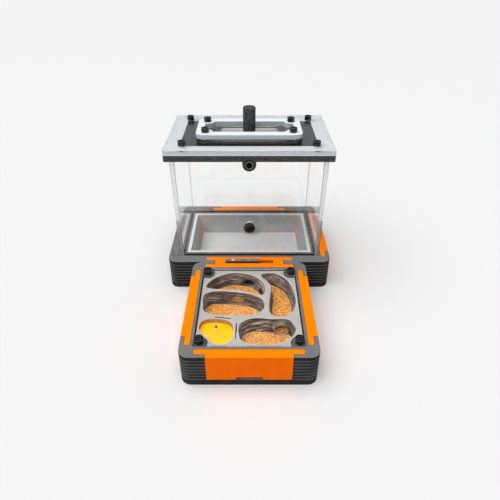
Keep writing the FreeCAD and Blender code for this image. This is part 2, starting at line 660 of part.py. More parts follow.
def make_hatch(screw_places):
    plates = {"hatch_spacer": ("spacer_thick", LID_Z), "hatch_frame": ("hatch_thick", HATCH_Z)}
    for name, (thick, low_z) in plates.items():
        blank = rounded_slab(name + "_blank", "hatch_wide", "hatch_deep", thick, "hatch_corner",
                             "0", HATCH_Y, low_z)
        holes = rods(name + "_hole", "screw_hole", thick, screw_places, low_z)
        node(name, cut(name, blank, [hatch_opening(name + "_opening", thick, low_z, "0")] + holes))
    grip = "hatch_thick + spacer_thick + sheet_thick"
    node("hatch_screws", screws("hatch_screws", "lid_head", grip, screw_places, f"{HATCH_Z} + hatch_thick"))

    plate = hatch_opening("hatch_door_plate", "sheet_thick", DOOR_Z, "door_gap")
    shank = rod("door_hole", "screw_radius + thread_gap", "sheet_thick", "0", HATCH_Y, DOOR_Z)
    sink = doc.addObject("Part::Cone", "door_sink")
    bind(sink, Radius1="knob_screw_head + thread_gap", Radius2="screw_radius + thread_gap",
         Height="knob_screw_cone")
    place(sink, "0", HATCH_Y, DOOR_Z)
    node("hatch_door", cut("hatch_door", plate, [shank, sink]))

    hole = "screw_radius + thread_gap"
    hole_top = "knob_screw_grip + slide_gap"
    knob = turned("hatch_knob_body", [(hole, "0"), ("knob_radius", "0"),
                                      ("knob_radius", "knob_tall - knob_bevel"),
                                      ("knob_radius - knob_bevel", "knob_tall"), ("0", "knob_tall"),
                                      ("0", hole_top), (hole, hole_top)])
    node("hatch_knob", place(knob, "0", HATCH_Y, f"{DOOR_Z} + sheet_thick"))
    tip = "sheet_thick + knob_screw_grip"
    screw = turned("knob_screw_body", [("0", "0"), ("knob_screw_head", "0"),
                                       ("screw_radius", "knob_screw_cone"), ("screw_radius", tip),
                                       ("0", tip)])
    node("knob_screw", place(screw, "0", HATCH_Y, DOOR_Z))


def on_block(point):
    """A drawn point, stretched to the nest block's real size."""
    slot = SIZES["lip_thick"] + SIZES["bar_thick"] + 2 * SIZES["slide_gap"]
    wide = SIZES["nest_wide"] - 2 * (slot + SIZES["recess_side_web"] + SIZES["nest_seal_thick"])
    deep = SIZES["nest_deep"] - 2 * (slot + SIZES["recess_end_web"] + SIZES["nest_seal_thick"])
    return FreeCAD.Vector(point[0] * wide / DRAWN_WIDE, point[1] * deep / DRAWN_DEEP, 0)


def smooth_ring(points, inset, height):
    """A closed smooth curve through the points, each moved inwards by inset."""
    area = sum(a.x * b.y - b.x * a.y for a, b in zip(points, points[1:] + points[:1]))
    inwards = 1 if area > 0 else -1
    moved = []
    for before, here, after in zip(points[-1:] + points[:-1], points, points[1:] + points[:1]):
        run = (after - before).normalize()
        moved.append(here + FreeCAD.Vector(-run.y, run.x, 0) * inset * inwards + UP * height)
    curve = Part.BSplineCurve()
    curve.interpolate(Points=moved, PeriodicFlag=True)
    return Part.Wire(curve.toShape())


def chamber(name, floor_z, slope):
    """The space of one chamber, narrowing towards its floor."""
    points = [on_block(point) for point in CHAMBERS[name]]
    top_z = SIZES["module_tall"] - SIZES["nest_sheet_thick"]
    space = doc.addObject("Part::Feature", f"chamber_{name}")
    rings = [smooth_ring(points, slope, floor_z), smooth_ring(points, 0, top_z)]
    space.Shape = Part.makeLoft(rings, True, True)
    return place(space, "0", NEST_Y, "0")


def upright_plate(name, ends, thick, low_z, tall):
    """A thin upright plate along a line drawn on the nest block."""
    start, end = (on_block(point) for point in ends)
    run = end - start
    plate = doc.addObject("Part::Box", name)
    bind(plate, Length=str(round(run.Length, 4)), Width=thick, Height=tall)
    turn(plate, UP, math.degrees(math.atan2(run.y, run.x)))
    side = FreeCAD.Vector(run.y, -run.x, 0).normalize() / 2
    return place(plate, f"{round(start.x, 4)} + {thick} * {round(side.x, 4)}",
                 f"{NEST_Y} + {round(start.y, 4)} + {thick} * {round(side.y, 4)}", low_z)


def make_nest_base(screw_places):
    """The ribbed nest module with its recess and the four screw bosses; returns the bosses."""
    boss_tall = f"{BLOCK_TOP} - nest_floor"
    bosses = rods("nest_boss", "nest_boss", boss_tall, screw_places, "nest_floor")
    for number, (at_x, at_y) in enumerate(screw_places, start=1):
        side = -1 if number <= 2 else 1
        end = -1 if number % 2 else 1
        bosses.append(slab(f"nest_boss_corner_{number}", "nest_screw_side", "nest_screw_end", boss_tall,
                           f"{at_x} + {side} * nest_screw_side / 2", f"{at_y} + {end} * nest_screw_end / 2",
                           "nest_floor"))
    all_bosses = join("nest_bosses", bosses)

    recess = slab("nest_recess", RECESS_WIDE, RECESS_DEEP, f"module_tall - nest_floor + {CUT_PAST}",
                  "0", NEST_Y, "nest_floor")
    tools = slots({"nest_back": END_TEE, "nest_front": END_TEE,
                   "nest_left": SIDE_TEE, "nest_right": SIDE_TEE})
    ribs = ribbed_block("nest", "nest_wide", "nest_deep", NEST_Y)
    hollowed = cut("nest_hollowed", ribs, [recess] + tools + nest_ports("base"))
    seat_deep = "nest_insert_long + nest_seat_below"
    seats = rods("nest_insert_seat", "insert_radius", f"{seat_deep} + {CUT_PAST}", screw_places,
                 f"{BLOCK_TOP} - ({seat_deep})")
    node("nest_base", cut("nest_base", join("nest_with_bosses", [hollowed, all_bosses]), seats))
    return all_bosses


def nest_ports(name):
    """The way in from the gate and the port behind the left cover, from the slots to the chambers."""
    back = rod(f"{name}_back_port", "tunnel_radius",
               f"nest_deep / 2 - {BAR_INNER} - {RECESS_DEEP} / 2 + tunnel_reach + {CUT_PAST}", "0",
               f"{NEST_Y} + {RECESS_DEEP} / 2 - tunnel_reach", "tunnel_up", "y")
    left = rod(f"{name}_left_port", "tunnel_radius",
               f"nest_wide / 2 - {BAR_INNER} - {RECESS_WIDE} / 2 + tunnel_reach + {CUT_PAST}",
               f"-nest_wide / 2 + {BAR_INNER} - {CUT_PAST}", NEST_Y, "tunnel_up", "x")
    return [back, left]


def chamber_ways():
    """The openings from chamber to chamber; the arched window stands on the sand."""
    window, side_hole, tunnel = (on_block(point) for point in (WINDOW_AT, SIDE_HOLE_AT, ROUND_TUNNEL_AT))
    window_y = f"{NEST_Y} + {window.y} - way_half_long"
    arch = rod("window_arch", "window_radius", "2 * way_half_long", str(window.x), window_y, "window_up", "y")
    above_sand = slab("window_zone", "2 * window_radius", "2 * way_half_long", "2 * window_radius",
                      str(window.x), f"{window_y} + way_half_long", SAND_TOP)
    return [
        common("window", arch, above_sand),
        rod("side_hole", "side_hole_radius", "2 * way_half_long", f"{side_hole.x} - way_half_long",
            f"{NEST_Y} + {side_hole.y}", "side_hole_up", "x"),
        rod("round_tunnel", "round_tunnel_radius", "collar_long + 2 * way_half_long", str(tunnel.x),
            f"{NEST_Y} + {tunnel.y} - collar_long - {CUT_PAST}", "round_tunnel_up", "y"),
    ]


def make_nest_insides(bosses, screw_places):
    """A plinth that fills the recess up to the chambers' floors, and the block with the chambers."""
    block_tall = f"({BLOCK_TOP} - {CHAMBER_FLOOR})"
    clearances = rods("boss_clearance", "nest_boss + boss_gap", f"{BLOCK_TOP} - nest_floor", screw_places,
                      "nest_floor")
    plinth = slab("plinth_blank", BLOCK_WIDE, BLOCK_DEEP, f"{CHAMBER_FLOOR} - nest_floor", "0", NEST_Y,
                  "nest_floor")
    node("nest_plinth", cut("nest_plinth", plinth, clearances))

    floor_z = SIZES["tunnel_up"] - SIZES["tunnel_radius"] - SIZES["floor_drop"]
    slopes = {name: SIZES["water_slope"] if name == "water" else SIZES["wall_slope"] for name in CHAMBERS}
    spaces = {name: chamber(name, floor_z, slope) for name, slope in slopes.items()}
    block = slab("nest_block", BLOCK_WIDE, BLOCK_DEEP, block_tall, "0", NEST_Y, CHAMBER_FLOOR)
    blank = cut("nest_insert_blank", block, clearances)
    hollowed = cut("nest_insert_hollowed", blank, list(spaces.values()))
    collar_at = on_block(ROUND_TUNNEL_AT)
    collar = rod("tunnel_collar", "round_tunnel_radius + collar_thick", "collar_long", str(collar_at.x),
                 f"{NEST_Y} + {collar_at.y} - collar_long", "round_tunnel_up", "y")
    slits = [upright_plate(f"slit_{name}", ends, "slit_wide", CHAMBER_FLOOR, block_tall)
             for name, ends in SLITS.items()]
    collared = join("nest_insert_collared", [hollowed, collar])
    node("nest_insert", cut_in_turn(collared, nest_ports("insert") + chamber_ways() + slits))
    for name, ends in SLITS.items():
        node(f"membrane_{name}", upright_plate(f"membrane_{name}", ends, "membrane_thick", CHAMBER_FLOOR,
                                               block_tall))

    for name, space in spaces.items():
        if name != "water":
            layer = slab(f"sand_layer_{name}", BLOCK_WIDE, BLOCK_DEEP, "sand_deep", "0", NEST_Y,
                         CHAMBER_FLOOR)
            fill = common(f"sand_fill_{name}", space, layer)
            node(f"sand_{name}", cut(f"sand_{name}", fill, [collar]) if name == "front" else fill)
    layer = slab("pad_layer", BLOCK_WIDE, BLOCK_DEEP, "pad_thick", "0", NEST_Y, CHAMBER_FLOOR)
    node("water_pad", common("water_pad", spaces["water"], layer))

    ring = slab("nest_seal_blank", RECESS_WIDE, RECESS_DEEP, "nest_seal_tall", "0", NEST_Y,
                f"{BLOCK_TOP} - nest_seal_tall")
    node("nest_seal", cut("nest_seal", ring, [bosses, blank]))


def make_nest():
    screw_places = corners(NEST_SCREW_WIDE, NEST_SCREW_DEEP, NEST_Y)
    bosses = make_nest_base(screw_places)
    make_nest_insides(bosses, screw_places)
    clear = slab("nest_sheet_blank", f"{RECESS_WIDE} - 2 * nest_sheet_gap",
                 f"{RECESS_DEEP} - 2 * nest_sheet_gap", "nest_sheet_thick", "0", NEST_Y, BLOCK_TOP)
    holes = rods("nest_screw_hole", "screw_hole", "nest_sheet_thick", screw_places, BLOCK_TOP)
    filler = on_block(FILL_HOLE_AT)
    holes.append(rod("fill_hole", "fill_hole", "nest_sheet_thick", str(filler.x), f"{NEST_Y} + {filler.y}",
                     BLOCK_TOP))
    node("nest_sheet", cut("nest_sheet", clear, holes))
    grip = "nest_sheet_thick + nest_insert_long"
    node("nest_screws", screws("nest_screws", "nest_head", grip, screw_places, "module_tall"))
    node("nest_threads", brass_inserts("nest_threads", "nest_insert_long", screw_places, BLOCK_TOP))


def make_connector():
    """The H-shaped key between the modules, with the gate that slides in it."""
    bar_end = "(end_panel / 2 + end_tab)"
    panel_end = "end_panel / 2"
    near = "(lip_thick + slide_gap)"
    far = "(lip_thick + slide_gap + bar_thick)"
    half = [(bar_end, f"-{far}"), (bar_end, f"-{near}"), (panel_end, f"-{near}"),
            (panel_end, near), (bar_end, near), (bar_end, far)]
    other = [(f"-({across})", f"-({along})") for across, along in half]
    body, pad = padded_outline("connector_body", half + other, COVER_TALL)
    round_bar_ends(body, pad, "end_panel", "end_tab", "0")
    bore = body.newObject("PartDesign::SubtractiveCylinder", "connector_bore")
    bind(bore, Radius="tunnel_radius", Height=f"2 * {far} + {2 * CUT_PAST}")
    turn(bore, FreeCAD.Vector(1, 0, 0), -90)
    place(bore, "0", f"-{far} - {CUT_PAST}", f"tunnel_up - {COVER_Z}")
    slot_z = f"(tunnel_up - gate_slot_below - {COVER_Z})"
    inner_box(body, "gate_slot", "gate_slot_long", "gate_slot_wide", f"{COVER_TALL} - {slot_z} + {CUT_PAST}",
              "-gate_slot_long / 2", "gate_shift - gate_slot_wide / 2", slot_z)
    node("connector", place(body, "0", JOINT_Y, COVER_Z))

    gate = doc.addObject("PartDesign::Body", "gate_body")
    blade = gate.newObject("PartDesign::AdditiveBox", "gate_blade")
    gate_z = "(tunnel_up - gate_slot_below + slide_gap)"
    bind(blade, Length="gate_long", Width="gate_slot_wide - 2 * gate_side_gap",
         Height=f"module_tall + gate_proud - {gate_z}")
    doc.recompute()
    way = gate.newObject("PartDesign::SubtractiveCylinder", "gate_way")
    bind(way, Radius="tunnel_radius", Height=f"gate_slot_wide + {2 * CUT_PAST}")
    turn(way, FreeCAD.Vector(1, 0, 0), -90)
    travel = "(gate_slot_long - gate_long - 2 * slide_gap)"
    place(way, f"gate_slot_long / 2 - slide_gap - {travel}", f"-{CUT_PAST}", f"tunnel_up - {gate_z}")
    gate.Tip = way
    node("gate_slider", place(gate, "slide_gap - gate_slot_long / 2",
                              f"{JOINT_Y} + gate_shift - gate_slot_wide / 2 + gate_side_gap", gate_z))


def check_and_write():
    """Stops at any failed object or bad shape, then writes one STEP file for each piece."""
    doc.recompute()
    failed = [item.Name for item in doc.Objects if "Invalid" in item.State or "Error" in item.State]
    if failed:
        raise RuntimeError("failed objects: " + ", ".join(failed))
    for name, thing in nodes.items():
        if thing.Shape.isNull() or not thing.Shape.isValid() or not thing.Shape.Solids:
            raise RuntimeError(name + " has no valid solid")
    os.makedirs("parts", exist_ok=True)
    for name, thing in nodes.items():
        thing.Shape.exportStep(f"parts/{name}.step")
        print(f"{name}: {len(thing.Shape.Solids)} solid(s), {thing.Shape.Volume:.1f} mm3")


make_foraging_base()
make_clear_walls()
make_lid()
make_nest()
make_connector()
cover("back_cover", END_TEE, "rear_back")
cover("left_cover", SIDE_TEE, "rear_left")
cover("right_cover", SIDE_TEE, "rear_right")
cover("front_cover", END_TEE, "nest_front")
cover("nest_left_cover", SIDE_TEE, "nest_left")
cover("nest_right_cover", SIDE_TEE, "nest_right")
check_and_write()
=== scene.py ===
"""Looks of the ant habitat: materials, fine detail, floor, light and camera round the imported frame.

Lengths are in metres, +Z is up, and +Y runs from the nest module towards the foraging module.
"""
import bmesh
import bpy
import json
import math
from mathutils import Matrix, Vector, noise as random_field


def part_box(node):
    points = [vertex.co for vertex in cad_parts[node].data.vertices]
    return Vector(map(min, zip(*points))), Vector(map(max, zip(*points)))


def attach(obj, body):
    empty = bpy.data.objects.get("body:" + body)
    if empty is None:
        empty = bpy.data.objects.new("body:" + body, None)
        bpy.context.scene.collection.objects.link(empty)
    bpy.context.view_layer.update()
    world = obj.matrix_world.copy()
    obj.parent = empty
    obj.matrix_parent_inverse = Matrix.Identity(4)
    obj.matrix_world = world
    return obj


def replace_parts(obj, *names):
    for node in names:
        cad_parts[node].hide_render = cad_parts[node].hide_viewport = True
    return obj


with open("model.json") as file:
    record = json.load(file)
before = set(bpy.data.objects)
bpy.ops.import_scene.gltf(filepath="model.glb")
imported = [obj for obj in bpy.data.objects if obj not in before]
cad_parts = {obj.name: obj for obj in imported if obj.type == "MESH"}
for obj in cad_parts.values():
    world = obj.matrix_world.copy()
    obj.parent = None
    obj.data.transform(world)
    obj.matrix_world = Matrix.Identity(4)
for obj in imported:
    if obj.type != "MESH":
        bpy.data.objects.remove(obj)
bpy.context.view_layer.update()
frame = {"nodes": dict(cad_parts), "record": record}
nodes = frame["nodes"]
MM = 0.001

# The arched window between the middle and back left chambers; its middle is given across and up
WINDOW = (-9.0 * MM, 14.8 * MM)
WINDOW_RADIUS = 4.95 * MM
WINDOW_FLOOR = 12.4 * MM
WINDOW_FRONT = -35.5 * MM
WINDOW_BACK = -30.4 * MM
WINDOW_SAND_TOP = 15.7 * MM
SILL_BACK = -34.8 * MM
SILL_TOP = 15.9 * MM
# How far the wall with the window runs back for each step to the right
WALL_SLANT = -0.148

# The round tunnel between the front and back right chambers, in the same terms
ROUND_TUNNEL = (22.5 * MM, 16.7 * MM)
TUNNEL_RADIUS = 4.15 * MM
TUNNEL_FLOOR = 11.5 * MM
TUNNEL_FRONT = -65.7 * MM
TUNNEL_BACK = -57.5 * MM
TUNNEL_SAND_TOP = 17.3 * MM

# The water chamber lies left of the first place and before the second
WATER_RIGHT = -9.8 * MM
WATER_BACK = -60.8 * MM


# Small helpers for building materials from nodes
def new_look(name):
    look = bpy.data.materials.new(name)
    look.use_nodes = True
    return look


def set_inputs(look, node, inputs):
    """Sets a node's inputs, each to a plain value or to another node's output."""
    for name, value in inputs.items():
        if isinstance(value, bpy.types.NodeSocket):
            look.node_tree.links.new(value, node.inputs[name])
        else:
            node.inputs[name].default_value = value
    return node


def add(look, kind, inputs=None, **settings):
    """Adds a shader node with its settings and inputs."""
    node = look.node_tree.nodes.new("ShaderNode" + kind)
    for name, value in settings.items():
        setattr(node, name, value)
    return set_inputs(look, node, inputs or {})


def shade(look, inputs):
    """Sets the inputs of the material's main shader."""
    return set_inputs(look, look.node_tree.nodes["Principled BSDF"], inputs)


def rgb(red, green, blue):
    """A colour from display values of 0 to 255, by the standard display curve."""
    def linear(value):
        share = value / 255
        return ((share + 0.055) / 1.055) ** 2.4 if share > 0.04045 else share / 12.92
    return (linear(red), linear(green), linear(blue), 1.0)


def place(look):
    """The place on the piece, in metres."""
    return add(look, "TexCoord").outputs["Object"]


def place_along(look, axis):
    return add(look, "SeparateXYZ", {"Vector": place(look)}).outputs[axis]


def facing(look, axis):
    """How far the surface faces along an axis, from -1 to 1."""
    normal = add(look, "NewGeometry").outputs["True Normal"]
    return add(look, "SeparateXYZ", {"Vector": normal}).outputs[axis]


def combine(look, operation, *values):
    """One value from one or two others, by plain arithmetic."""
    return add(look, "Math", dict(enumerate(values)), operation=operation).outputs["Value"]


def remap(look, value, low=0.0, high=1.0, to_low=0.0, to_high=1.0):
    """Maps low to high onto to_low to to_high, and stays at the ends beyond them."""
    inputs = {"Value": value, "From Min": low, "From Max": high, "To Min": to_low, "To Max": to_high}
    return add(look, "MapRange", inputs).outputs["Result"]


def more_than(look, value, low, high):
    """0 below low and 1 above high."""
    return remap(look, value, low, high)


def less_than(look, value, low, high):
    """1 below low and 0 above high."""
    return remap(look, value, low, high, to_low=1.0, to_high=0.0)


def past(look, axis, limit, blur):
    """1 where the place along an axis is past the limit and 0 where it is short of it."""
    return more_than(look, place_along(look, axis), limit - blur, limit + blur)


def short_of(look, axis, limit, blur):
    """1 where the place along an axis is short of the limit and 0 where it is past it."""
    return less_than(look, place_along(look, axis), limit - blur, limit + blur)


def upward(look, low=0.5, high=0.9):
    """1 on faces that look up and 0 on sides."""
    return more_than(look, facing(look, "Z"), low, high)


def noise(look, size, detail=3.0, roughness=0.5, stretch=(1, 1, 1)):
    """Noise whose grains are about size times stretch across, in metres."""
    shrink = tuple(1 / times for times in stretch)
    shrunk = add(look, "Mapping", {"Vector": place(look), "Scale": shrink}).outputs["Vector"]
    inputs = {"Vector": shrunk, "Scale": 1 / size, "Detail": detail, "Roughness": roughness}
    return add(look, "TexNoise", inputs).outputs["Fac"]


def ramp(look, factor, stops):
    """A colour ramp: stops are pairs of a position and a colour."""
    node = add(look, "ValToRGB", {"Fac": factor})
    elements = node.color_ramp.elements
    elements[0].position, elements[0].color = stops[0]
    elements[1].position, elements[1].color = stops[-1]
    for position, colour in stops[1:-1]:
        elements.new(position).color = colour
    return node.outputs["Color"]


def two_tones(look, factor, dark, light, low=0.3, high=0.7):
    """The dark colour where the factor is low and the light one where it is high."""
    return ramp(look, factor, [(low, dark), (high, light)])


def blend_colours(look, factor, first, second):
    """The first colour where the factor is 0 and the second where it is 1."""
    factor_in, first_in, second_in, colour_out = 0, 6, 7, 2
    inputs = {factor_in: factor, first_in: first, second_in: second}
    return add(look, "Mix", inputs, data_type="RGBA").outputs[colour_out]


def bump(look, height, depth, under=None):
    """A bump of depth metres from a height between 0 and 1, on top of another normal."""
    inputs = {"Height": height, "Distance": depth, "Strength": 1.0}
    if under is not None:
        inputs["Normal"] = under
    return add(look, "Bump", inputs).outputs["Normal"]


def soft_edges(look, radius):
    """The normal of the surface with its edges rounded to a radius."""
    return add(look, "Bevel", {"Radius": radius}, samples=4).outputs["Normal"]


def open_sky(look, reach, low=0.3, high=0.8):
    """1 where the surface is open and 0 deep inside grooves and corners of about reach metres."""
    shelter = add(look, "AmbientOcclusion", {"Distance": reach}, samples=8, only_local=True).outputs["AO"]
    return more_than(look, shelter, low, high)


def far_from_tunnel(look):
    """The distance from the axis of the round tunnel."""
    on_axis = (ROUND_TUNNEL[0], 0.0, ROUND_TUNNEL[1])
    across_axis = (1.0, 0.0, 1.0)
    off = add(look, "VectorMath", {0: place(look), 1: on_axis}, operation="SUBTRACT").outputs["Vector"]
    across = add(look, "VectorMath", {0: off, 1: across_axis}, operation="MULTIPLY").outputs["Vector"]
    return add(look, "VectorMath", {0: across}, operation="LENGTH").outputs["Value"]


# Materials
def printed_plastic(name, top, side, groove_shade):
    """Printed plastic: tops painted as lit, sides and grooves painted as in shade; layer lines and a fine
    grain.

    The top and the side each have a dark and a light colour; they are lit and shaded copies of one plastic.
    """
    look = new_look(name)
    layer = 0.2 * MM
    period_at_scale_one = 0.314
    grain = noise(look, size=0.45 * MM, detail=4.0, roughness=0.65)
    patches = noise(look, size=9 * MM, detail=2.0)
    tone = combine(look, "ADD", grain, remap(look, patches, 0.3, 0.7, to_low=-0.12, to_high=0.12))
    # Painted light: faces that look up get the lit top colours, and the rest get the shaded side colours
    level = upward(look)
    shown = blend_colours(look, level, two_tones(look, tone, *side), two_tones(look, tone, *top))
    # Painted shade: deep in grooves and corners the colour turns to the groove shade
    lit = combine(look, "MAXIMUM", open_sky(look, reach=2.2 * MM), level)
    waves = {"Vector": place(look), "Scale": period_at_scale_one / layer, "Distortion": 0.4, "Detail": 1.0}
    layers = add(look, "TexWave", waves, wave_type="BANDS", bands_direction="Z").outputs["Fac"]
    normal = bump(look, layers, depth=0.02 * MM, under=soft_edges(look, radius=0.35 * MM))
    normal = bump(look, grain, depth=0.03 * MM, under=normal)
    shade(look, {"Base Color": blend_colours(look, lit, groove_shade, shown), "Roughness": 0.65,
                 "Specular IOR Level": 0.04, "Normal": normal})
    return look


def fuzzy_plastic(name):
    """Printed plastic with a rough skin: short level streaks, dark with pale specks."""
    look = new_look(name)
    skin = noise(look, size=0.6 * MM, detail=5.0, roughness=0.7, stretch=(1.8, 1.8, 0.8))
    colour = ramp(look, skin, [(0.35, rgb(32, 32, 33)), (0.52, rgb(66, 66, 67)), (0.68, rgb(128, 128, 128))])
    shade(look, {"Base Color": colour, "Roughness": 0.75, "Specular IOR Level": 0.2,
                 "Normal": bump(look, skin, depth=0.3 * MM)})
    return look


def clear_plastic(name, flat_axis, frost, streak, faintest=0.35):
    """Clear sheet with polished faces across one axis and cut edges that catch the light in streaks.

    The streak is its length along each axis. The edges are frosted by the frost, and by the faintest
    share of it between the streaks.
    """
    look = new_look(name)
    tint = (0.998, 1.0, 1.0, 1.0)
    shader = shade(look, {"Base Color": tint, "Roughness": 0.0, "IOR": 1.49, "Transmission Weight": 1.0})
    passes = add(look, "BsdfTransparent", {"Color": tint})
    shadow = add(look, "LightPath").outputs["Is Shadow Ray"]
    clear = add(look, "MixShader", {0: shadow, 1: shader.outputs["BSDF"], 2: passes.outputs["BSDF"]})
    edge = less_than(look, combine(look, "ABSOLUTE", facing(look, flat_axis)), 0.4, 0.6)
    streaks = more_than(look, noise(look, size=1.0, roughness=0.6, stretch=streak), 0.38, 0.6)
    share = combine(look, "MULTIPLY", edge, remap(look, streaks, to_low=faintest * frost, to_high=frost))
    sawn = add(look, "BsdfDiffuse", {"Color": rgb(236, 238, 240), "Roughness": 0.5})
    both = add(look, "MixShader", {0: share, 1: clear.outputs["Shader"], 2: sawn.outputs["BSDF"]})
    set_inputs(look, look.node_tree.nodes["Material Output"], {"Surface": both.outputs["Shader"]})
    return look


def rubber(name, colour, rough):
    """Rubber with soft edges and patches that are worn lighter."""
    look = new_look(name)
    worn_lighter = 1.6
    worn = tuple(worn_lighter * value for value in colour[:3]) + (1.0,)
    grain = noise(look, size=0.4 * MM)
    normal = bump(look, grain, depth=0.01 * MM, under=soft_edges(look, radius=0.2 * MM))
    shade(look, {"Base Color": two_tones(look, noise(look, size=4 * MM), colour, worn, 0.35, 0.7),
                 "Roughness": rough, "Normal": normal})
    return look


def black_steel(name):
    """Black oxide steel with a painted highlight on its upper edges."""
    look = new_look(name)
    wear = noise(look, size=1.2 * MM)
    black = two_tones(look, wear, rgb(8, 8, 9), rgb(20, 20, 21), 0.4, 0.75)
    painted_highlight = rgb(128, 128, 130)
    rounded = soft_edges(look, radius=0.5 * MM)
    flat = add(look, "NewGeometry").outputs["True Normal"]
    agree = add(look, "VectorMath", {0: rounded, 1: flat}, operation="DOT_PRODUCT").outputs["Value"]
    # Painted highlight: a pale colour on the rounded edges of faces that look up
    edge_highlight = combine(look, "MULTIPLY", less_than(look, agree, 0.86, 0.98), upward(look))
    shade(look, {"Base Color": blend_colours(look, edge_highlight, black, painted_highlight),
                 "Roughness": remap(look, wear, to_low=0.1, to_high=0.2), "Normal": rounded})
    return look


def brass(name):
    """Turned brass with fine rings round its upright axis."""
    look = new_look(name)
    turned = noise(look, size=0.5 * MM, detail=2.0, stretch=(3, 3, 0.3))
    shade(look, {"Base Color": two_tones(look, turned, rgb(170, 128, 52), rgb(214, 178, 96)),
                 "Metallic": 1.0, "Roughness": 0.3, "Normal": bump(look, turned, depth=0.02 * MM)})
    return look


def sand(name):
    """Orange-tan sand: mixed grains with dark and pale ones between."""
    look = new_look(name)
    grain_size = 0.5 * MM
    cells = add(look, "TexVoronoi", {"Vector": place(look), "Scale": 1 / grain_size})
    mixed = add(look, "SeparateColor", {"Color": cells.outputs["Color"]}).outputs["Red"]
    colour = ramp(look, mixed, [(0.0, rgb(84, 44, 18)), (0.16, rgb(150, 84, 30)), (0.36, rgb(210, 134, 56)),
                                (0.8, rgb(220, 152, 70)), (1.0, rgb(238, 209, 150))])
    round_grains = less_than(look, cells.outputs["Distance"], 0.0, 0.6)
    shade(look, {"Base Color": colour, "Roughness": 0.85, "Specular IOR Level": 0.2,
                 "Normal": bump(look, round_grains, depth=0.25 * MM)})
    return look


def nest_block(name, top_up):
    """Pale block with a level top; below it is brown-grey rock with wavy beds and painted shade in its
    hollows.

    The round tunnel collar's lower lip is pale; the water chamber's wall has painted yellow bounce light.
    """
    look = new_look(name)
    beds = noise(look, size=3.2 * MM, stretch=(4.0, 4.0, 1.0))
    hollow_shade, pale_lip, pad_bounce_tan = rgb(52, 40, 32), rgb(150, 146, 142), rgb(158, 126, 84)
    rock = ramp(look, beds, [(0.32, rgb(80, 65, 55)), (0.5, rgb(114, 100, 90)), (0.68, rgb(168, 157, 148))])
    # Painted shade: the rock turns dark in hollows and corners
    rock = blend_colours(look, open_sky(look, 2.0 * MM, low=0.35, high=0.75), hollow_shade, rock)

    on_collar = less_than(look, far_from_tunnel(look), 5.4 * MM, 5.7 * MM)
    in_chamber = short_of(look, "Y", limit=-62.0 * MM, blur=0.5 * MM)
    low_half = short_of(look, "Z", limit=ROUND_TUNNEL[1], blur=0.5 * MM)
    lip = combine(look, "MULTIPLY", combine(look, "MULTIPLY", on_collar, in_chamber), low_half)
    rock = blend_colours(look, lip, rock, pale_lip)

    # Painted light: the water chamber's wall is tinted tan as if lit by yellow light thrown back from the
    # pad
    by_water = combine(look, "MULTIPLY", short_of(look, "X", limit=WATER_RIGHT, blur=0.2 * MM),
                       short_of(look, "Y", limit=WATER_BACK, blur=0.2 * MM))
    rock = blend_colours(look, by_water, rock, pad_bounce_tan)

    speckle = noise(look, size=0.5 * MM, detail=4.0, roughness=0.6)
    top = two_tones(look, speckle, rgb(154, 151, 147), rgb(172, 169, 165))
    under_top = short_of(look, "Z", limit=top_up - 0.25 * MM, blur=0.1 * MM)
    shade(look, {"Base Color": blend_colours(look, under_top, top, rock), "Roughness": 0.8,
                 "Specular IOR Level": 0.2, "Normal": bump(look, beds, depth=0.5 * MM)})
    return look


def basin(name):
    """Pale cast basin, stippled; walls painted darker as shade, rim painted white as a lit top."""
    look = new_look(name)
    stipple = noise(look, size=0.6 * MM, detail=4.0, roughness=0.65)
    floor = two_tones(look, stipple, rgb(170, 172, 172), rgb(242, 244, 244), 0.35, 0.65)
    wall = two_tones(look, stipple, rgb(128, 129, 129), rgb(214, 215, 215), 0.35, 0.65)
    # Painted shade: the walls get darker copies of the floor's colours
    inside = blend_colours(look, upward(look, low=0.8, high=0.98), wall, floor)
    white = rgb(214, 215, 214)
    # Painted light: the rim's top is painted white as lit
    on_rim = past(look, "Z", limit=26.3 * MM, blur=0.1 * MM)
    shade(look, {"Base Color": blend_colours(look, on_rim, inside, white), "Roughness": 0.7,
                 "Normal": bump(look, stipple, depth=0.12 * MM)})
    return look


def moisture_pad(name):
    """Yellow pad with fine pores and faint patches."""
    look = new_look(name)
    pores = noise(look, size=0.35 * MM, detail=4.0, roughness=0.6)
    patches = noise(look, size=8 * MM, detail=2.0)
    shade(look, {"Base Color": two_tones(look, patches, rgb(240, 162, 6), rgb(246, 172, 10), 0.35, 0.65),
                 "Roughness": 0.6, "Specular IOR Level": 0.04, "Normal": bump(look, pores, depth=0.03 * MM)})
    return look


def white_sheet(name):
    """White polished sheet whose sides are painted a little darker as shade."""
    look = new_look(name)
    clouds = noise(look, size=12 * MM, detail=2.0)
    top = two_tones(look, clouds, rgb(232, 238, 240), rgb(237, 242, 244))
    # Painted shade: faces that do not look up get the darker side colour
    shaded_side = rgb(184, 191, 195)
    shade(look, {"Base Color": blend_colours(look, upward(look), shaded_side, top), "Roughness": 0.2,
                 "Normal": soft_edges(look, radius=0.5 * MM)})
    return look


def plain_sheet(name, dark, light, rough):
    """A flat opaque sheet with faint mottling and soft edges."""
    look = new_look(name)
    fine = noise(look, size=0.6 * MM)
    normal = bump(look, fine, depth=0.02 * MM, under=soft_edges(look, radius=0.3 * MM))
    shade(look, {"Base Color": two_tones(look, fine, dark, light), "Roughness": rough,
                 "Specular IOR Level": 0.2, "Normal": normal})
    return look


def glossy_dome(name):
    """A shiny yellow, a little darker than the pad, for the small domes on it."""
    look = new_look(name)
    shade(look, {"Base Color": rgb(236, 176, 30), "Roughness": 0.1})
    return look


